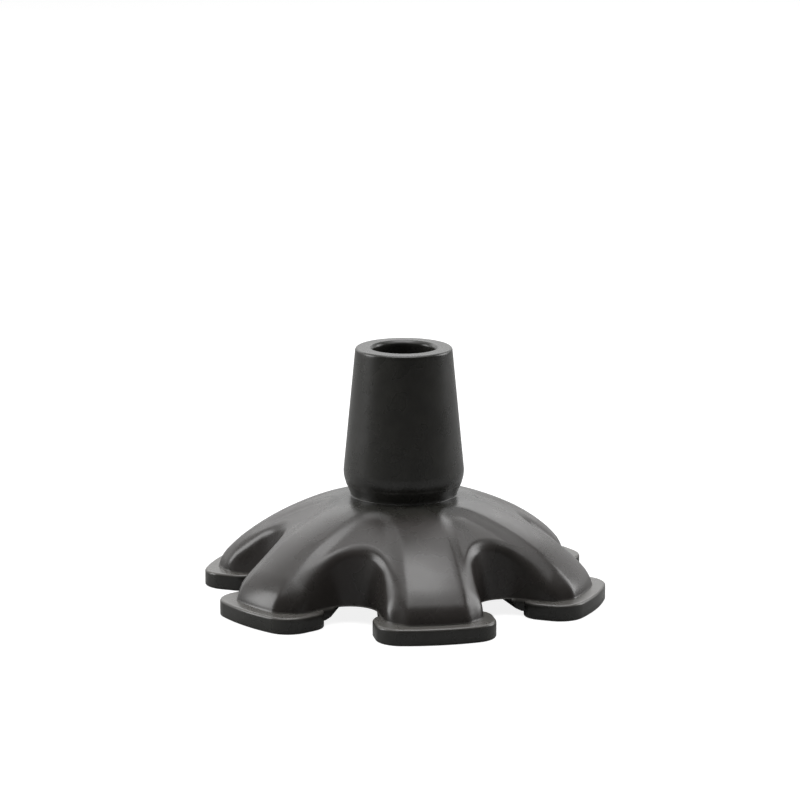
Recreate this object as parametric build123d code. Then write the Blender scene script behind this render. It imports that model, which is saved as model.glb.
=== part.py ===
from build123d import *
from math import acos, asin, cos, hypot, radians, sin
import os

# Shaft socket
shaft_diameter = 19.0
socket_depth = 42.0
socket_mouth_chamfer = 0.8

# Collar that grips the shaft
overall_height = 75.8
rim_radius = 14.6
rim_round = 0.7
waist_radius = 18.4
waist_height = 36.6
waist_round = 9.0
collar_foot_radius = 15.7
collar_foot_height = 29.9
collar_foot_fillet = 1.0

# Curve of the dome and of the toes
dome_arc_radius = 76.7
dome_crown_slope = 9.8
toe_knee_radius = 54.9
toe_nose_radius = 10.0

# Toes and the notches between them
toe_count = 6
toe_half_width = 15.0
toe_corner_radius = 5.5
toe_draft = 6.0
notch_root_radius = 8.7
notch_edge_round = 2.0

# Raised face along the top of each toe
face_half_width = 10.2
face_rise = 1.6
face_root_radius = 3.5
face_edge_round = 0.7

# Soles
sole_thickness = 4.8
sole_radius = 61.6
sole_half_width = 17.9
sole_corner_radius = 7.8
sole_inner_radius = 41.0
sole_inner_corner = 6.0

# Tread grooves under the soles
tread_count = 3
tread_width = 1.6
tread_depth = 1.2
tread_pitch = 4.6
tread_margin = 4.0
tread_half_length = 11.0

# Hollow underside
skirt_wall = 4.5
crown_wall = 6.0
hollow_setback = 1.0

# How far a cutting shape runs past the faces that it cuts
overrun = 1.0

# How near a point or an edge is to a shape to count as on it
near = 0.02

toe_step = 360 / toe_count
first_toe = -90.0
crown_centre = (
    collar_foot_radius - dome_arc_radius * sin(radians(dome_crown_slope)),
    collar_foot_height - dome_arc_radius * cos(radians(dome_crown_slope)),
)
knee_angle = asin((toe_knee_radius - crown_centre[0]) / dome_arc_radius)


def point_on_arc(centre, radius, angle):
    """Point of an arc in the XZ half plane, with its angle measured outwards from straight up."""
    return centre[0] + radius * sin(angle), centre[1] + radius * cos(angle)


nose_centre = point_on_arc(crown_centre, dome_arc_radius - toe_nose_radius, knee_angle)


def arc_about(centre, radius, start, end):
    """Arc about a centre, from one angle to another."""
    middle = point_on_arc(centre, radius, (start + end) / 2)
    return ThreePointArc(point_on_arc(centre, radius, start), middle, point_on_arc(centre, radius, end))


def turned(outline):
    """Solid of revolution about Z of a closed outline drawn in the XZ plane."""
    return revolve(Plane.XZ * make_face(outline), Axis.Z)


def crown_blank(inset, reach, base_height):
    """Solid under the crown's arc, out to a radius and down to a height."""
    radius = dome_arc_radius - inset
    start = asin(-crown_centre[0] / radius)
    crown = arc_about(crown_centre, radius, start, asin((reach - crown_centre[0]) / radius))
    sides = Polyline(crown @ 1, (reach, base_height), (0, base_height), crown @ 0)
    return turned(crown + sides)


def dome_blank(inset):
    """Solid under the dome's whole curve: the crown's arc, then the tighter arc of a toe's nose."""
    crown_radius = dome_arc_radius - inset
    nose_radius = toe_nose_radius - inset
    nose_end = acos((sole_thickness - nose_centre[1]) / nose_radius)
    crown = arc_about(crown_centre, crown_radius, asin(-crown_centre[0] / crown_radius), knee_angle)
    nose = arc_about(nose_centre, nose_radius, knee_angle, nose_end)
    base = Polyline(nose @ 1, (0, sole_thickness), crown @ 0)
    return turned(crown + nose + base)


def from_axis(point):
    """Distance of a point from the Z axis."""
    return hypot(point.X, point.Y)


def star_plan(half_width, reach, root_radius):
    """Plan of the toes: arms of one width, with rounded roots between them."""
    plan = Sketch()
    for index in range(toe_count):
        arm = Pos(reach, 0) * Rectangle(2 * reach, 2 * half_width)
        plan += Rot(0, 0, first_toe + index * toe_step) * arm
    plan = plan & Circle(reach)
    return fillet([v for v in plan.vertices() if from_axis(v) < reach - overrun], root_radius)


def drafted_star(plan, base_height):
    """The plan drawn upwards from a height, with its walls leaning in by the draft."""
    return extrude(Pos(0, 0, base_height) * plan, collar_foot_height + overrun, taper=toe_draft)


def rim_edges(body, inset):
    """Edges where a star's drafted walls meet the dome's surface, which are the only ones to round."""
    found = []
    for edge in body.edges():
        middle = edge @ 0.5
        radius = from_axis(middle)
        off_crown = hypot(radius - crown_centre[0], middle.Z - crown_centre[1]) - dome_arc_radius + inset
        off_nose = hypot(radius - nose_centre[0], middle.Z - nose_centre[1]) - toe_nose_radius + inset
        on_dome = min(abs(off_crown), abs(off_nose)) < near
        if on_dome and middle.Z > sole_thickness + near and edge.geom_type != GeomType.CIRCLE:
            found.append(edge)
    return found


def toes():
    """The flared body: the dome inside the star, with the notches' edges rounded."""
    dome = dome_blank(face_rise)
    reach = dome.bounding_box().max.X + overrun / 2
    plan = star_plan(toe_half_width, reach, notch_root_radius)
    plan = fillet([v for v in plan.vertices() if from_axis(v) > reach - near], toe_corner_radius)
    body = dome & drafted_star(plan, sole_thickness)
    return fillet(rim_edges(body, face_rise), notch_edge_round)


def toe_faces():
    """The raised faces, which run from the collar down the front of each toe."""
    plan = star_plan(face_half_width, toe_knee_radius + toe_nose_radius, face_root_radius)
    body = dome_blank(0) & drafted_star(plan, sole_thickness)
    return fillet(rim_edges(body, 0), face_edge_round)


def collar():
    """The tapered collar with its rounded rim, its waist and its tucked-in foot."""
    base_height = sole_thickness + crown_wall
    outline = Polyline(
        (0, base_height),
        (0, overall_height),
        (rim_radius, overall_height),
        (waist_radius, waist_height),
        (collar_foot_radius, collar_foot_height),
        (collar_foot_radius, base_height),
        close=True,
    )
    profile = make_face(outline)
    rim = [v for v in profile.vertices() if v.Y > overall_height - near and v.X > near]
    profile = fillet(rim, rim_round)
    waist = [v for v in profile.vertices() if abs(v.Y - waist_height) < near]
    profile = fillet(waist, waist_round)
    return revolve(Plane.XZ * profile, Axis.Z)


def socket():
    """The shaft's blind hole with its chamfered mouth."""
    radius = shaft_diameter / 2
    floor_height = overall_height - socket_depth
    mouth_radius = radius + socket_mouth_chamfer + overrun
    return turned(
        Polyline(
            (0, floor_height),
            (radius, floor_height),
            (radius, overall_height - socket_mouth_chamfer),
            (mouth_radius, overall_height + overrun),
            (0, overall_height + overrun),
            close=True,
        )
    )


def sole():
    """One flat sole, along X: a piece of a ring with rounded corners."""
    strip = Pos(sole_radius, 0) * Rectangle(2 * sole_radius, 2 * sole_half_width)
    plan = (strip & Circle(sole_radius)) - Circle(sole_inner_radius)
    plan = fillet([v for v in plan.vertices() if from_axis(v) > sole_radius - near], sole_corner_radius)
    plan = fillet([v for v in plan.vertices() if from_axis(v) < sole_inner_radius + near], sole_inner_corner)
    return extrude(plan, sole_thickness)


def treads():
    """Curved grooves under one sole, along X, which stop short of its sides."""
    strip = Pos(sole_radius, 0) * Rectangle(2 * sole_radius, 2 * tread_half_length)
    grooves = Sketch()
    for index in range(tread_count):
        outer = sole_radius - tread_margin - index * tread_pitch
        grooves += strip & (Circle(outer) - Circle(outer - tread_width))
    return extrude(Pos(0, 0, -overrun) * grooves, tread_depth + overrun)


def hollow():
    """The space under the dome, with walls of one thickness along the notches."""
    base_height = sole_thickness - overrun
    blank = crown_blank(face_rise + crown_wall, sole_inner_radius - hollow_setback, base_height)
    plan = star_plan(toe_half_width - skirt_wall, sole_radius, notch_root_radius + skirt_wall)
    return blank & drafted_star(plan, base_height)


def cane_tip():
    """The whole moulding."""
    tip = toes() + collar() + toe_faces()
    foot = [
        edge
        for edge in tip.edges().filter_by(GeomType.CIRCLE)
        if abs(edge.radius - collar_foot_radius) < near and abs(edge.arc_center.Z - collar_foot_height) < near
    ]
    tip = fillet(foot, collar_foot_fillet)
    grooved_sole = sole() - treads()
    for index in range(toe_count):
        tip += Rot(0, 0, first_toe + index * toe_step) * grooved_sole
    tip -= socket()
    tip -= hollow()
    return tip


os.makedirs("parts", exist_ok=True)
tip = cane_tip()
tip.label = "cane_tip"
export_step(tip, "parts/cane_tip.step")
print("volume", round(tip.volume / 1000, 1), "cm3, solids", len(tip.solids()), "valid", tip.is_valid)
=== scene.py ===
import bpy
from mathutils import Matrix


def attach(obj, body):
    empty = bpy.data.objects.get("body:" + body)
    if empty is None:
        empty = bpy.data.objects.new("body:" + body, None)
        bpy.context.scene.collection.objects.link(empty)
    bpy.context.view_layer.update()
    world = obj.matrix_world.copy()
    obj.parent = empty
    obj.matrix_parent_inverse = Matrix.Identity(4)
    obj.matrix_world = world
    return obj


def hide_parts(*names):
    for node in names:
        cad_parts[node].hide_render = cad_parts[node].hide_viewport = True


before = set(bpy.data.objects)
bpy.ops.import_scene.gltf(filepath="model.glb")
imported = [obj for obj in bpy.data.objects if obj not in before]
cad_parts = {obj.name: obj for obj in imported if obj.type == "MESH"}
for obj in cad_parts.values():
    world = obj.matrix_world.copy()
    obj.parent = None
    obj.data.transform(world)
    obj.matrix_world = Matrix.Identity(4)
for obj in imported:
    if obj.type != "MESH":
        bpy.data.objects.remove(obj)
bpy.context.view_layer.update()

import math

import bpy
import numpy as np
from mathutils import Vector

mm = 0.001

# The flared body in millimetres and degrees, with heights from the ground and reaches from the axis
tip = dict(
    toeCount=6, firstToe=-90.0,
    crownRadius=76.7, crownSlope=9.8,  # the dome's long arc and its slope at the collar's foot
    footRadius=15.7, footHeight=29.9,
    kneeRadius=54.9, noseRadius=10.0,  # where the long arc ends, and the tighter arc of a toe's nose
    toeHalfWidth=15.0, toeDraft=6.0, toeCorner=5.5, toeReach=56.83,
    notchRoot=8.7, notchRound=2.2,
    toeRound=4.4, rollFrom=38.0, rollTo=56.0, rollHeight=12.0,  # the rounder edges at the end of a toe
    endDraft=19.0, endLift=4.0, endBend=3.0,  # its walls lean in more, from endLift above the web
    faceHalfWidth=10.2, faceRoot=3.5, faceRise=0.8, faceRound=2.0, faceFootRound=3.4,
    faceFadeFrom=20.0, faceFadeTo=38.0,  # the raised faces flow into the dome between these reaches
    webBottom=4.8, edgeRound=0.3,
    skirtDrop=3.3, skirtFrom=42.7, skirtTo=44.0,  # the skirt comes down to the soles between these reaches
    skirtWall=4.5, ceilingInset=7.6, hollowReach=40.0, hollowCorner=1.5, hollowRound=2.0, hollowBelow=1.0,
)

# The collar and the shaft's socket in millimetres
collar = dict(
    topHeight=75.8, rimRadius=14.6, rimRound=0.9,
    waistRadius=18.4, waistHeight=36.6, waistRound=9.0, tuckEnd=32.0, footFillet=0.35,
    seamHeight=34.2, seamRise=0.34, seamWidth=0.26,  # the faint moulding line
    boreRadius=9.5, boreDepth=42.0, mouthChamfer=0.8,
    chamferFoot=((0.0, -0.15), (0.08, 0.0)),  # steps in r and z that ease the chamfer's two edges
    chamferTop=((-0.1, -0.12), (0.1, 0.0)),
)

# How finely the body is sampled, and where its rays start and change over from wall to ceiling
detail = dict(
    faceColumns=12, bandColumns=24, shellRows=118, ceilingRows=20, wallRows=12, marchSteps=140,
    floorRadii=(0, 3, 6, 8.7, 9.3), boreRises=(0.2, 0.8, 3, 10, 20, 30, 38, 40.4),
    rimRows=3, rimMargins=(0.3, 0.2), rimArcRows=8, sideRows=14, sideFirst=0.02, waistRows=30, tuckRows=5,
    footStep=(0.4, 0.6), crestStart=0.3, crestPoints=(200, 60),
    widestFace=0.93, shellStart=75.0, hollowStart=3.0,
    wallTop=(37.0, 12.0), ceilingFrom=36.5, ceilingTo=0.4, rayGap=0.01,
    lipIn=(0, 0, 0, 0.3, 1), lipUp=(1, 1, 1, 0.3, 0), lipDown=(0, 0.4, 1, 1, 1),
)


# Points (r, z) of an arc: the centre plus the radius times the sine and cosine of angles from straight up
def arcPoints(centre, radius, start, end, count):
    angles = np.radians(np.linspace(start, end, count))
    return np.stack([centre[0] + radius * np.sin(angles), centre[1] + radius * np.cos(angles)], axis=1)


# The dome's two arcs: the crown about one centre, the nose of a toe about another
slope = math.radians(tip["crownSlope"])
crownCentre = np.array([tip["footRadius"] - tip["crownRadius"] * math.sin(slope),
                        tip["footHeight"] - tip["crownRadius"] * math.cos(slope)])
knee = math.asin((tip["kneeRadius"] - crownCentre[0]) / tip["crownRadius"])
kneeRay = np.array([math.sin(knee), math.cos(knee)])
noseCentre = crownCentre + (tip["crownRadius"] - tip["noseRadius"]) * kneeRay
halfStep = 180.0 / tip["toeCount"]
draft = math.radians(tip["toeDraft"])


# Ramp with soft ends: t squared times (3 - 2t), where t runs from 0 to 1 between start and end
def softStep(value, start, end):
    t = np.clip((value - start) / (end - start), 0, 1)
    return t * t * (3 - 2 * t)


# Overlap of two solids given by distances, its edge rounded: there hypot(a + radius, b + radius) - radius
def roundMax(a, b, radius):
    outside = np.hypot(np.maximum(a + radius, 0), np.maximum(b + radius, 0))
    return np.minimum(np.maximum(a, b), -radius) + outside


# Union of two solids given by distances, its corner filled: min - (width - |a - b|) squared / (4 width)
def smoothMin(a, b, width):
    blend = np.maximum(width - np.abs(a - b), 0)
    return np.minimum(a, b) - blend * blend / (4 * width)


# Distance to the dome: from the crown's centre less its radius up to the knee, from the nose's beyond it
def domeDistance(r, z, inset):
    angle = np.arctan2(r - crownCentre[0], z - crownCentre[1])
    crown = np.hypot(r - crownCentre[0], z - crownCentre[1]) - tip["crownRadius"] + inset
    nose = np.hypot(r - noseCentre[0], z - noseCentre[1]) - tip["noseRadius"] + inset
    return np.where(angle < knee, crown, nose)


# Distance to a star's wall in plan, and how far the wall has leaned in at a height: across less the half
# width along a toe, root radius less the distance to the root's centre in a notch
def starDistance(u, v, z, halfWidth, root, base):
    rootV = halfWidth + root
    rootU = rootV / math.tan(math.radians(halfStep))
    plan = np.where(u < rootU, root - np.hypot(u - rootU, v - rootV), v - halfWidth)
    return plan, (z - base) * math.tan(draft)


# Direction in r and z from one point to another, with a length of 1
def heading(start, end):
    step = np.array([end[0] - start[0], end[1] - start[1]])
    return step / np.hypot(*step)


# Distance to the flared body: rounded overlaps of the dome with the toes' star and with the faces' star, and
# the cone of the collar's foot, joined by smooth unions. u runs along a toe, v across it
def bodyDistance(u, v, z):
    r = np.hypot(u, v)
    plan, lean = starDistance(u, v, z, tip["toeHalfWidth"], tip["notchRoot"], tip["webBottom"])
    plan = roundMax(plan, r - tip["toeReach"], tip["toeCorner"])
    roll = softStep(r, tip["rollFrom"], tip["rollTo"])
    above = z - tip["webBottom"] - tip["endLift"]
    above = (above + np.hypot(above, tip["endBend"])) / 2
    lean = lean + roll * above * (math.tan(math.radians(tip["endDraft"])) - math.tan(draft))
    wall = (plan + lean) * math.cos(draft)
    high = np.clip((z - tip["webBottom"]) / tip["rollHeight"], 0, 1)
    edge = tip["notchRound"] + (tip["toeRound"] - tip["notchRound"]) * roll * high
    rise = tip["faceRise"] * softStep(r, tip["faceFadeFrom"], tip["faceFadeTo"])
    toes = roundMax(domeDistance(r, z, rise), wall, edge)
    plan, lean = starDistance(u, v, z, tip["faceHalfWidth"], tip["faceRoot"], tip["webBottom"])
    faces = roundMax(domeDistance(r, z, 0.0), (plan + lean) * math.cos(draft), tip["faceRound"])
    waist = (collar["waistRadius"], collar["waistHeight"])
    upwards = heading((tip["footRadius"], tip["footHeight"]), waist)
    foot = (r - tip["footRadius"]) * upwards[1] - (z - tip["footHeight"]) * upwards[0]
    return smoothMin(smoothMin(toes, faces, tip["faceFootRound"]), foot, collar["footFillet"])


# Distance to the hollow under the dome: a rounded overlap of its ceiling and its drafted, round-ended walls
def hollowDistance(u, v, z):
    r = np.hypot(u, v)
    ceiling = np.hypot(r - crownCentre[0], z - crownCentre[1]) - tip["crownRadius"] + tip["ceilingInset"]
    halfWidth = tip["toeHalfWidth"] - tip["skirtWall"]
    root = tip["notchRoot"] + tip["skirtWall"]
    plan, lean = starDistance(u, v, z, halfWidth, root, tip["webBottom"] - tip["hollowBelow"])
    wall = (roundMax(plan, r - tip["hollowReach"], tip["hollowCorner"]) + lean) * math.cos(draft)
    return roundMax(ceiling, wall, tip["hollowRound"])


# Points (r, z) where rays from the centre of the web's bottom meet a surface: from a start, each length
# becomes itself less the distance there, over and over
def march(distance, azimuth, elevation, start):
    length = np.full(azimuth.shape, start)
    ray = [np.cos(elevation) * np.cos(azimuth), np.cos(elevation) * np.sin(azimuth), np.sin(elevation)]
    for _ in range(detail["marchSteps"]):
        here = [length * ray[0], length * ray[1], tip["webBottom"] + length * ray[2]]
        length = length - distance(*here)
    return length * np.cos(elevation), tip["webBottom"] + length * ray[2]


# The polyline's points, moved to even distances along it
def evenly(points, count):
    steps = np.hypot(*np.diff(points, axis=0).T)
    along = np.concatenate([[0], np.cumsum(steps)])
    at = np.linspace(0, along[-1], count)
    return np.stack([np.interp(at, along, points[:, 0]), np.interp(at, along, points[:, 1])], axis=1)


# Points (r, z) out along the socket's floor, up its wall and over its chamfer to the rim
def socketProfile():
    floor = collar["topHeight"] - collar["boreDepth"]
    chamferFoot = (collar["boreRadius"], collar["topHeight"] - collar["mouthChamfer"])
    chamferTop = (collar["boreRadius"] + collar["mouthChamfer"], collar["topHeight"])
    points = [(r, floor) for r in detail["floorRadii"]]
    points += [(collar["boreRadius"], floor + rise) for rise in detail["boreRises"]]
    points += [(chamferFoot[0] + r, chamferFoot[1] + z) for r, z in collar["chamferFoot"]]
    points += [(chamferTop[0] + r, chamferTop[1] + z) for r, z in collar["chamferTop"]]
    return np.array(points)


# Points (r, z) from the socket over the rim and down the collar to above its foot: straight lines joined by
# tangent arcs, with the moulding line added to r as rise * exp(-((z - height) / width) squared)
def collarProfile():
    rim = (collar["rimRadius"], collar["topHeight"])
    waist = (collar["waistRadius"], collar["waistHeight"])
    cone = heading(rim, waist)
    tuck = heading(waist, (tip["footRadius"], tip["footHeight"]))
    rimTurn = math.degrees(math.atan2(-cone[1], cone[0]))
    tuckTurn = math.degrees(math.atan2(-tuck[1], tuck[0]))
    rimReach = collar["rimRound"] * math.tan(math.radians(rimTurn / 2))
    rimCentre = (rim[0] - rimReach, rim[1] - collar["rimRound"])
    rimArc = arcPoints(rimCentre, collar["rimRound"], 0, rimTurn, detail["rimArcRows"])
    waistReach = collar["waistRound"] * math.tan(math.radians((tuckTurn - rimTurn) / 2))
    waistCentre = np.array(waist) - cone * waistReach + collar["waistRound"] * np.array([cone[1], -cone[0]])
    waistArc = arcPoints(waistCentre, collar["waistRound"], rimTurn, tuckTurn, detail["waistRows"])
    socket = socketProfile()
    mouth = collar["boreRadius"] + collar["mouthChamfer"]
    margins = detail["rimMargins"]
    flatRadii = np.linspace(mouth + margins[0], rimArc[0, 0] - margins[1], detail["rimRows"])
    flat = np.stack([flatRadii, np.full(detail["rimRows"], collar["topHeight"])], axis=1)
    sideShares = np.linspace(detail["sideFirst"], 1, detail["sideRows"])[:, None]
    side = rimArc[-1] + sideShares * (waistArc[0] - rimArc[-1])
    tuckLength = (waistArc[-1, 1] - collar["tuckEnd"]) / -tuck[1]
    tail = waistArc[-1] + np.linspace(0, tuckLength, detail["tuckRows"])[1:, None] * tuck
    outside = np.concatenate([rimArc, side[:-1], waistArc, tail])
    offSeam = (outside[:, 1] - collar["seamHeight"]) / collar["seamWidth"]
    outside[:, 0] += collar["seamRise"] * np.exp(-offSeam ** 2)
    return np.concatenate([socket, flat, outside])


# Points (r, z) along a toe's crest at even distances, and the elevations of the rays that reach them
def shellCrest(last):
    noseEnd = math.degrees(math.acos((tip["webBottom"] - noseCentre[1]) / tip["noseRadius"]))
    crownStart = tip["crownSlope"] + detail["crestStart"]
    crownPoints, nosePoints = detail["crestPoints"]
    crest = np.concatenate([
        [last, (tip["footRadius"] + detail["footStep"][0], tip["footHeight"] + detail["footStep"][1])],
        arcPoints(crownCentre, tip["crownRadius"], crownStart, math.degrees(knee), crownPoints),
        arcPoints(noseCentre, tip["noseRadius"], math.degrees(knee), noseEnd, nosePoints),
    ])
    crest = evenly(crest, detail["shellRows"])[1:]
    return crest, np.arctan2(crest[:, 1] - tip["webBottom"], crest[:, 0])


# A mesh object with smooth faces, from points in millimetres
def closedMesh(name, points, faces):
    mesh = bpy.data.meshes.new(name)
    mesh.from_pydata((points * mm).tolist(), [], faces)
    mesh.polygons.foreach_set("use_smooth", np.ones(len(mesh.polygons), bool))
    piece = bpy.data.objects.new(name, mesh)
    bpy.context.scene.collection.objects.link(piece)
    return piece


# The whole ring of columns from half of one toe: each row is mirrored in the toe's middle, then turned to
# every toe. A point is (r cos azimuth, r sin azimuth, z)
def aroundTheAxis(rows):
    halfAzimuth, radius, height = rows
    azimuth = np.concatenate([halfAzimuth, -halfAzimuth[:, -2:0:-1]], axis=1)
    radius = np.concatenate([radius, radius[:, -2:0:-1]], axis=1)
    height = np.concatenate([height, height[:, -2:0:-1]], axis=1)
    azimuth[:, halfAzimuth.shape[1]:] += math.radians(2 * halfStep)
    turns = np.radians(tip["firstToe"] + 2 * halfStep * np.arange(tip["toeCount"]))
    azimuth = np.concatenate([azimuth + turn for turn in turns], axis=1)
    radius = np.tile(radius, (1, tip["toeCount"]))
    height = np.tile(height, (1, tip["toeCount"]))
    return np.stack([radius * np.cos(azimuth), radius * np.sin(azimuth), height], axis=2)


# Quads between neighbouring rings of points, each ring closed on itself
def ringFaces(rowCount, columnCount):
    row, column = np.meshgrid(np.arange(rowCount - 1), np.arange(columnCount), indexing="ij")
    beside = (column + 1) % columnCount
    quads = [row * columnCount + column, (row + 1) * columnCount + column,
             (row + 1) * columnCount + beside, row * columnCount + beside]
    return np.stack(quads, axis=2).reshape(-1, 4).tolist()


# Triangles from a pole to each side of the first ring and from another pole to each side of the last
def poleFaces(firstPole, lastPole, lastRing, columnCount):
    here = np.arange(columnCount)
    beside = (here + 1) % columnCount
    first = np.stack([np.full(columnCount, firstPole), here, beside], axis=1)
    last = np.stack([np.full(columnCount, lastPole), lastRing + beside, lastRing + here], axis=1)
    return np.stack([first, last], axis=1).reshape(-1, 3).tolist()


# Azimuths of half a toe's columns: even steps up to each row's edge of the raised face, then even steps
# from that edge to the middle of the notch
def halfColumns(edges):
    across = np.linspace(0, 1, detail["faceColumns"] + 1)
    beyond = np.linspace(0, 1, detail["bandColumns"] + 1)[1:]
    band = math.radians(halfStep) - edges[:, None]
    return np.concatenate([edges[:, None] * across, edges[:, None] + band * beyond], axis=1)


# The one-piece body: socket, collar, dome, toes and the hollow underneath, as one closed skin of rings
def buildBody():
    profile = collarProfile()
    crest, elevations = shellCrest(profile[-1])

    # Shell: rays from inside out to the body's surface
    width = tip["faceHalfWidth"] - (crest[:, 1] - tip["webBottom"]) * math.tan(draft)
    widest = math.sin(math.radians(halfStep * detail["widestFace"]))
    edge = np.arcsin(np.minimum(width / crest[:, 0], widest))
    shellAzimuth = halfColumns(edge)
    shellRay = np.broadcast_to(elevations[:, None], shellAzimuth.shape)
    shellRadius, shellHeight = march(bodyDistance, shellAzimuth, shellRay, detail["shellStart"])

    # Collar and socket: one profile turned about the axis, whose columns ease over to the shell's
    even = math.radians(halfStep) * detail["faceColumns"] / (detail["faceColumns"] + detail["bandColumns"])
    ease = np.linspace(0, 1, len(profile)) ** 3
    turnedAzimuth = halfColumns(even + (edge[0] - even) * ease)
    turnedRadius = np.broadcast_to(profile[:, :1], turnedAzimuth.shape)
    turnedHeight = np.broadcast_to(profile[:, 1:], turnedAzimuth.shape)

    # Bottom edge: down from the web's bottom to the soles by skirtDrop * softStep(r), then a quarter round
    inwards = np.array(detail["lipIn"])[:, None] * tip["edgeRound"]
    upwards = np.array(detail["lipUp"])[:, None] * tip["edgeRound"]
    downwards = np.array(detail["lipDown"])[:, None] * tip["skirtDrop"]
    lowAzimuth = np.repeat(shellAzimuth[-1:], len(inwards), axis=0)
    lowRadius = shellRadius[-1:] - inwards
    lowered = downwards * softStep(shellRadius[-1:], tip["skirtFrom"], tip["skirtTo"])
    lowHeight = tip["webBottom"] + upwards - lowered

    # Hollow: rays from inside out to its walls and ceiling
    innerRadius = tip["crownRadius"] - tip["ceilingInset"]
    ceilingRadii = np.linspace(detail["ceilingFrom"], detail["ceilingTo"], detail["ceilingRows"])
    ceilingHeights = np.sqrt(innerRadius ** 2 - (ceilingRadii - crownCentre[0]) ** 2) + crownCentre[1]
    ceilingRay = np.arctan2(ceilingHeights - tip["webBottom"], ceilingRadii)
    wallTopRay = math.atan2(detail["wallTop"][1], detail["wallTop"][0])
    wallRay = np.linspace(0, wallTopRay, detail["wallRows"])
    hollowRay = np.concatenate([wallRay, ceilingRay[ceilingRay > wallTopRay + detail["rayGap"]]])
    hollowAzimuth = halfColumns(np.full(len(hollowRay), even))
    rays = np.broadcast_to(hollowRay[:, None], hollowAzimuth.shape)
    hollowRadius, hollowHeight = march(hollowDistance, hollowAzimuth, rays, detail["hollowStart"])
    hollowHeight[0] += tip["edgeRound"]

    # Inner lip: the bottom edge's quarter round the other way, from the web's bottom into the hollow
    lipRadius = hollowRadius[:1] + inwards[::-1][:2]
    lipHeight = np.broadcast_to(tip["webBottom"] + upwards[::-1][:2], lipRadius.shape)
    lipAzimuth = np.repeat(hollowAzimuth[:1], 2, axis=0)

    shell = slice(1, len(elevations) - 1)
    rows = [np.concatenate(parts) for parts in (
        (turnedAzimuth[1:], shellAzimuth[shell], lowAzimuth, lipAzimuth, hollowAzimuth),
        (turnedRadius[1:], shellRadius[shell], lowRadius, lipRadius, hollowRadius),
        (turnedHeight[1:], shellHeight[shell], lowHeight, lipHeight, hollowHeight))]
    grid = aroundTheAxis(rows)
    rowCount, columnCount = grid.shape[:2]
    ceilingTop = math.sqrt(innerRadius ** 2 - crownCentre[0] ** 2) + crownCentre[1]
    poles = [[0, 0, profile[0, 1]], [0, 0, ceilingTop]]
    points = np.concatenate([grid.reshape(-1, 3), poles])
    lastRing = (rowCount - 1) * columnCount
    faces = ringFaces(rowCount, columnCount)
    faces += poleFaces(len(points) - 2, len(points) - 1, lastRing, columnCount)
    return closedMesh("tipBody", points, faces)


body = buildBody()
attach(body, "root")
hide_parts("cane_tip")
print("body", len(body.data.polygons), "faces")

# One sole in millimetres. Its stations, beyondGroove and withinGroove are shares of its length, outwards
sole = dict(
    top=4.95, topRound=0.8, bottomRound=0.4,
    outerRadius=61.6, halfWidth=17.88, outerCorner=7.8, innerRadius=44.0, innerCorner=6.0,
    treadCount=3, treadMargin=4.0, treadPitch=4.6, treadWidth=1.6, treadDepth=1.2, treadHalfLength=11.0,
    stations=(0, 0.004, 0.02, 0.05, 0.09, 0.15, 0.22, 0.3, 0.36, 0.42, 0.5, 0.86, 0.91, 0.95, 0.98, 0.996, 1),
    beyondGroove=0.002, withinGroove=0.004, treadShare=0.85,
    treadColumns=9, sideColumns=8, sideFirst=0.015, sideSecond=0.15,
    wallHeights=(1.5, 3.0), roundTurns=(22.5, 45.0, 67.5, 90.0), near=0.001,
)


# Half angle of a sole at each radius: arcsin(half width / r) along its side, the corner circle's crossing by
# the law of cosines at its ends
def soleHalfAngle(inset, radii):
    width = sole["halfWidth"] - inset
    angle = np.arcsin(width / radii)
    outerEnd = (sole["outerRadius"] - inset, sole["outerCorner"] - inset, -1)
    innerEnd = (sole["innerRadius"] + inset, sole["innerCorner"] - inset, 1)
    for end, corner, side in (outerEnd, innerEnd):
        centreRadius = end + side * corner
        centreAcross = width - corner
        centreAlong = math.sqrt(centreRadius ** 2 - centreAcross ** 2)
        tangent = math.hypot(centreAlong, width)
        cosine = (radii ** 2 + centreRadius ** 2 - corner ** 2) / (2 * radii * centreRadius)
        crossing = math.atan2(centreAcross, centreAlong) + np.arccos(np.clip(cosine, -1, 1))
        angle = np.where(side * (tangent - radii) > 0, crossing, angle)
    return angle


# Radii of a sole's rows: from its inner to its outer radius by shares, both drawn in by the inset
def soleRadii(inset, shares):
    length = sole["outerRadius"] - sole["innerRadius"] - 2 * inset
    return sole["innerRadius"] + inset + shares * length


# Plan of a sole drawn in by an inset: a row for each radius, columns across the grooves and then to its sides
def solePlan(inset, shares):
    radii = soleRadii(inset, shares)
    half = soleHalfAngle(inset, radii)
    reach = np.arcsin(np.minimum(sole["treadHalfLength"] / radii, sole["treadShare"] * np.sin(half)))
    inner = np.linspace(0, 1, sole["treadColumns"])
    outer = np.concatenate([[sole["sideFirst"]], np.linspace(sole["sideSecond"], 1, sole["sideColumns"])])
    side = np.concatenate([reach[:, None] * inner, reach[:, None] + (half - reach)[:, None] * outer], axis=1)
    azimuth = np.concatenate([-side[:, :0:-1], side], axis=1)
    return np.stack([radii[:, None] * np.cos(azimuth), radii[:, None] * np.sin(azimuth)], axis=2)


# Outer radii of the tread grooves
def treadRadii():
    return sole["outerRadius"] - sole["treadMargin"] - np.arange(sole["treadCount"]) * sole["treadPitch"]


# Shares of a sole's length at which it has rows: its stations, and one on each side of every groove's edges
def soleShares():
    span = sole["outerRadius"] - sole["innerRadius"]
    outer = (treadRadii() - sole["innerRadius"]) / span
    inner = (treadRadii() - sole["treadWidth"] - sole["innerRadius"]) / span
    around = [outer + sole["beyondGroove"], outer - sole["withinGroove"],
              inner - sole["beyondGroove"], inner + sole["withinGroove"]]
    return np.sort(np.concatenate([sole["stations"]] + around))


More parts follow.
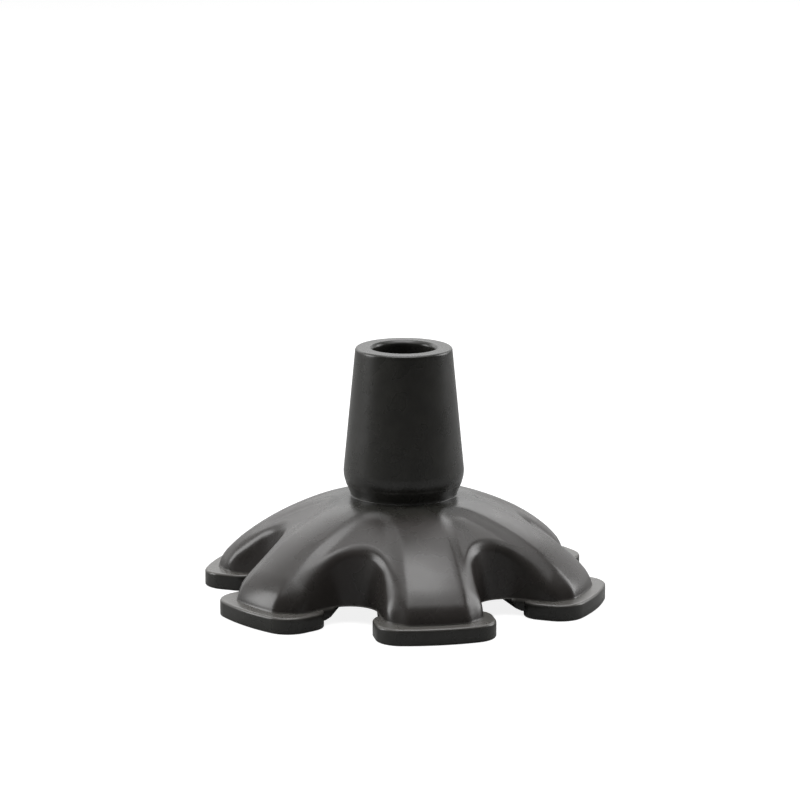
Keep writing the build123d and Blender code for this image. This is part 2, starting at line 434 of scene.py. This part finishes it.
# Inset and height of each ring round a sole's edge: quarter rounds, radius * (1 - sine, 1 - cosine), below
# and above a straight wall
def soleEdge():
    turns = np.radians(sole["roundTurns"])
    inset, height = 1 - np.sin(turns), 1 - np.cos(turns)
    low = np.stack([sole["bottomRound"] * inset, sole["bottomRound"] * height], axis=1)
    wall = np.stack([np.zeros(len(sole["wallHeights"])), sole["wallHeights"]], axis=1)
    high = np.stack([sole["topRound"] * inset, sole["top"] - sole["topRound"] * height], axis=1)[::-1]
    return np.concatenate([low, wall, high])


# One sole: a bottom and a top of the same rows and columns, with rings round the edge between them. The
# bottom is lifted by treadDepth inside the grooves. The points are turned about the axis to their toe
def buildSole(name, turn):
    shares = soleShares()
    bottom = solePlan(sole["bottomRound"], shares)
    top = solePlan(sole["topRound"], shares)
    radii = soleRadii(sole["bottomRound"], shares)[:, None]
    within = (radii < treadRadii()) & (radii > treadRadii() - sole["treadWidth"])
    across = np.abs(bottom[:, :, 1]) < sole["treadHalfLength"] + sole["near"]
    depth = within.any(axis=1)[:, None] * across * sole["treadDepth"]
    rowCount, columnCount = bottom.shape[:2]
    count = rowCount * columnCount
    index = np.arange(count).reshape(rowCount, columnCount)
    loop = np.concatenate([index[0, :-1], index[:-1, -1], index[-1, :0:-1], index[:0:-1, 0]])
    edge = soleEdge()
    sides = [np.column_stack([solePlan(inset, shares).reshape(-1, 2)[loop], np.full(len(loop), height)])
             for inset, height in edge]
    bottomPoints = np.column_stack([bottom.reshape(-1, 2), depth.reshape(-1)])
    topPoints = np.column_stack([top.reshape(-1, 2), np.full(count, sole["top"])])
    points = np.concatenate([bottomPoints, topPoints] + sides)
    quads = np.stack([index[:-1, :-1], index[:-1, 1:], index[1:, 1:], index[1:, :-1]], axis=2).reshape(-1, 4)
    faces = quads.tolist() + (quads[:, ::-1] + count).tolist()
    rings = [loop] + [2 * count + k * len(loop) + np.arange(len(loop)) for k in range(len(edge))]
    rings.append(loop + count)
    for low, high in zip(rings, rings[1:]):
        faces += np.stack([low, high, np.roll(high, -1), np.roll(low, -1)], axis=1).tolist()
    c, s = math.cos(math.radians(turn)), math.sin(math.radians(turn))
    x, y, z = points.T
    return closedMesh(name, np.column_stack([x * c - y * s, x * s + y * c, z]), faces)


soles = []
for k in range(tip["toeCount"]):
    piece = buildSole("sole" + str(k + 1), tip["firstToe"] + 2 * halfStep * k)
    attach(piece, "root")
    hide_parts("cane_tip")
    soles.append(piece)
print("soles", sum(len(piece.data.polygons) for piece in soles), "faces")

# The rubber. A noise is its scale, detail and roughness. The lows and highs are heights in metres
rubberLook = dict(
    colour=(0.023, 0.0225, 0.0195), mottleShare=0.2, mottleNoise=(180.0, 3.0, 0.5),
    # Painted light: the pale colour on the next two lines is laid in clouds over the dome and toes between
    # two heights, standing for the top light, and stops below the collar's foot
    paintedLight=(0.036, 0.0315, 0.0295), paintedLightShare=(0.45, 1.0), paintedLightNoise=(55.0, 4.0, 0.55),
    paintedLightLow=(0.0040, 0.0050), paintedLightHigh=(0.0300, 0.0275),
    # Painted highlight: the lighter colour on this line is laid on the ledge between two heights, where the
    # soles' tops catch the overhead light
    paintedLedgeHighlight=(0.088, 0.084, 0.078), paintedLedgeHighlightLow=(0.0040, 0.0049), paintedLedgeHighlightHigh=(0.0056, 0.0050),
    roughness=0.28, roughnessSpread=0.1, sheenNoise=(110.0, 3.0, 0.5), specular=0.5,
    grainNoise=(2600.0, 2.0, 0.5), grainDepth=0.000008, waveNoise=(90.0, 2.0, 0.4), waveDepth=0.00004,
    noiseSpan=(0.2, 0.8),
)


# Dark warm grey rubber: a mottled colour, painted light in pale clouds over the flared body from the soles'
# tops to below the collar's foot, a painted highlight along the ledge where the toes meet the soles, an
# uneven sheen, a fine grain and slow waves in the moulded skin
def makeRubber():
    look = rubberLook
    material = bpy.data.materials.new("rubber")
    material.use_nodes = True
    nodes, links = material.node_tree.nodes, material.node_tree.links
    shader = nodes["Principled BSDF"]
    shader.inputs["Specular IOR Level"].default_value = look["specular"]
    where = nodes.new("ShaderNodeTexCoord")
    parts = nodes.new("ShaderNodeSeparateXYZ")
    links.new(where.outputs["Object"], parts.inputs[0])

    def noise(kind):
        node = nodes.new("ShaderNodeTexNoise")
        for name, value in zip(("Scale", "Detail", "Roughness"), look[kind]):
            node.inputs[name].default_value = value
        links.new(where.outputs["Object"], node.inputs["Vector"])
        return node.outputs["Fac"]

    def softRamp(value, start, end, low=0.0, high=1.0):
        node = nodes.new("ShaderNodeMapRange")
        node.interpolation_type = "SMOOTHSTEP"
        for name, number in zip(("From Min", "From Max", "To Min", "To Max"), (start, end, low, high)):
            node.inputs[name].default_value = number
        links.new(value, node.inputs["Value"])
        return node.outputs["Result"]

    def product(a, b):
        node = nodes.new("ShaderNodeMath")
        node.operation = "MULTIPLY"
        links.new(a, node.inputs[0])
        links.new(b, node.inputs[1])
        return node.outputs[0]

    def band(low, high):
        height = parts.outputs["Z"]
        return product(softRamp(height, *look[low]), softRamp(height, *look[high]))

    def over(base, colour, share):
        node = nodes.new("ShaderNodeMix")
        node.data_type = "RGBA"
        node.inputs["B"].default_value = colour + (1,)
        links.new(base, node.inputs["A"])
        links.new(share, node.inputs["Factor"])
        return node.outputs["Result"]

    def bump(kind, depth):
        node = nodes.new("ShaderNodeBump")
        node.inputs["Distance"].default_value = look[depth]
        links.new(noise(kind), node.inputs["Height"])
        return node

    mottle = nodes.new("ShaderNodeMix")
    mottle.data_type = "RGBA"
    mottle.inputs["A"].default_value = [c * (1 - look["mottleShare"]) for c in look["colour"]] + [1]
    mottle.inputs["B"].default_value = [c * (1 + look["mottleShare"]) for c in look["colour"]] + [1]
    links.new(softRamp(noise("mottleNoise"), *look["noiseSpan"]), mottle.inputs["Factor"])
    # Painted light: pale clouds on the dome and toes, fading in above the ledge and out below the collar's
    # foot
    paintedLightClouds = softRamp(noise("paintedLightNoise"), *look["noiseSpan"], *look["paintedLightShare"])
    paintedLit = over(mottle.outputs["Result"], look["paintedLight"], product(paintedLightClouds, band("paintedLightLow", "paintedLightHigh")))
    # Painted highlight along the ledge where the toes meet the soles
    ledgeHighlighted = over(paintedLit, look["paintedLedgeHighlight"], band("paintedLedgeHighlightLow", "paintedLedgeHighlightHigh"))
    links.new(ledgeHighlighted, shader.inputs["Base Color"])

    smooth = look["roughness"] - look["roughnessSpread"] / 2
    rough = look["roughness"] + look["roughnessSpread"] / 2
    sheen = softRamp(noise("sheenNoise"), *look["noiseSpan"], smooth, rough)
    links.new(sheen, shader.inputs["Roughness"])
    grain, wave = bump("grainNoise", "grainDepth"), bump("waveNoise", "waveDepth")
    links.new(wave.outputs["Normal"], grain.inputs["Normal"])
    links.new(grain.outputs["Normal"], shader.inputs["Normal"])
    return material


rubber = makeRubber()
for piece in [body] + soles:
    piece.data.materials.append(rubber)
print("rubber done")

# The studio: white where the camera sees it. Its light is a pale backdrop behind and a dark room in front
worldLook = dict(front=(0.05, 0.05, 0.048), back=(1.0, 1.0, 1.0), backRamp=(-0.35, 0.9), topRamp=(0.8, 0.35))


# The backdrop's share is a soft ramp of the direction's y times a soft ramp of its z
def makeWorld():
    look = worldLook
    world = bpy.data.worlds.new("studio")
    bpy.context.scene.world = world
    world.use_nodes = True
    nodes, links = world.node_tree.nodes, world.node_tree.links
    direction = nodes.new("ShaderNodeTexCoord")
    parts = nodes.new("ShaderNodeSeparateXYZ")
    links.new(direction.outputs["Generated"], parts.inputs[0])

    def softRamp(value, start, end):
        node = nodes.new("ShaderNodeMapRange")
        node.interpolation_type = "SMOOTHSTEP"
        node.inputs["From Min"].default_value = start
        node.inputs["From Max"].default_value = end
        links.new(value, node.inputs["Value"])
        return node.outputs["Result"]

    share = nodes.new("ShaderNodeMath")
    share.operation = "MULTIPLY"
    links.new(softRamp(parts.outputs["Y"], *look["backRamp"]), share.inputs[0])
    links.new(softRamp(parts.outputs["Z"], *look["topRamp"]), share.inputs[1])
    tone = nodes.new("ShaderNodeMix")
    tone.data_type = "RGBA"
    tone.inputs["A"].default_value = look["front"] + (1,)
    tone.inputs["B"].default_value = look["back"] + (1,)
    links.new(share.outputs[0], tone.inputs["Factor"])
    light = nodes["Background"]
    links.new(tone.outputs["Result"], light.inputs["Color"])
    white = nodes.new("ShaderNodeBackground")
    white.inputs["Color"].default_value = (1, 1, 1, 1)
    path = nodes.new("ShaderNodeLightPath")
    seen = nodes.new("ShaderNodeMixShader")
    links.new(path.outputs["Is Camera Ray"], seen.inputs[0])
    links.new(light.outputs[0], seen.inputs[1])
    links.new(white.outputs[0], seen.inputs[2])
    links.new(seen.outputs[0], nodes["World Output"].inputs["Surface"])


makeWorld()
print("world done")

# The floor takes the object's shadow, and is lifted to white where the camera sees it
floorLook = dict(halfWidth=4.0, height=-0.00005, colour=0.3, lift=0.86)


# A square on the ground whose paint is a plain diffuse plus a glow of lift times Is Camera Ray
def makeFloor():
    h, z = floorLook["halfWidth"], floorLook["height"]
    mesh = bpy.data.meshes.new("floor")
    mesh.from_pydata([(-h, -h, z), (h, -h, z), (h, h, z), (-h, h, z)], [], [(0, 1, 2, 3)])
    piece = bpy.data.objects.new("floor", mesh)
    bpy.context.scene.collection.objects.link(piece)
    material = bpy.data.materials.new("floorPaint")
    material.use_nodes = True
    nodes, links = material.node_tree.nodes, material.node_tree.links
    nodes.remove(nodes["Principled BSDF"])
    paint = nodes.new("ShaderNodeBsdfDiffuse")
    paint.inputs["Color"].default_value = (floorLook["colour"],) * 3 + (1,)
    path = nodes.new("ShaderNodeLightPath")
    level = nodes.new("ShaderNodeMath")
    level.operation = "MULTIPLY"
    level.inputs[1].default_value = floorLook["lift"]
    glow = nodes.new("ShaderNodeEmission")
    both = nodes.new("ShaderNodeAddShader")
    links.new(path.outputs["Is Camera Ray"], level.inputs[0])
    links.new(level.outputs[0], glow.inputs["Strength"])
    links.new(paint.outputs[0], both.inputs[0])
    links.new(glow.outputs[0], both.inputs[1])
    links.new(both.outputs[0], nodes["Material Output"].inputs["Surface"])
    mesh.materials.append(material)
    return piece


floor = makeFloor()
print("floor done")

# Soft studio lamps: name, place, width, height, power. Each faces the object
lamps = [
    ("overheadLamp", (0.0, -0.02, 1.0), 0.6, 0.5, 3.6),
    ("softLamp", (0.0, 0.1, 1.3), 1.8, 1.6, 14.0),
    ("backLamp", (0.0, 1.2, 0.85), 2.0, 0.6, 6.5),
    ("leftLamp", (-1.0, 0.2, 0.45), 0.5, 0.7, 6.0),
    ("rightLamp", (1.0, 0.2, 0.45), 0.5, 0.7, 5.0),
]
lampAim = (0.0, 0.0, 0.035)


# Rotation that points an object's -Z from a place to a target, with +Y up
def aimed(place, target):
    return (Vector(target) - Vector(place)).to_track_quat("-Z", "Y").to_euler()


for name, place, width, height, power in lamps:
    lamp = bpy.data.lights.new(name, "AREA")
    lamp.shape = "RECTANGLE"
    lamp.size, lamp.size_y = width, height
    lamp.energy = power
    holder = bpy.data.objects.new(name, lamp)
    holder.location = place
    holder.rotation_euler = aimed(place, lampAim)
    bpy.context.scene.collection.objects.link(holder)
print("lamps done")

# Camera at the photograph's angle, fitted to the object's outlines. ahead is the direction that it looks in
cameraSizes = dict(place=(-0.1948, -1.0872, 0.3006), ahead=(0.1713, 0.9618, -0.2133), lens=168.8, sensor=36.0)
cameraData = bpy.data.cameras.new("camera")
cameraData.lens = cameraSizes["lens"]
cameraData.sensor_width = cameraSizes["sensor"]
camera = bpy.data.objects.new("camera", cameraData)
camera.location = cameraSizes["place"]
target = tuple(p + d for p, d in zip(cameraSizes["place"], cameraSizes["ahead"]))
camera.rotation_euler = aimed(cameraSizes["place"], target)
bpy.context.scene.collection.objects.link(camera)
bpy.context.scene.camera = camera
bpy.context.scene.view_settings.view_transform = "Standard"
print("camera done")
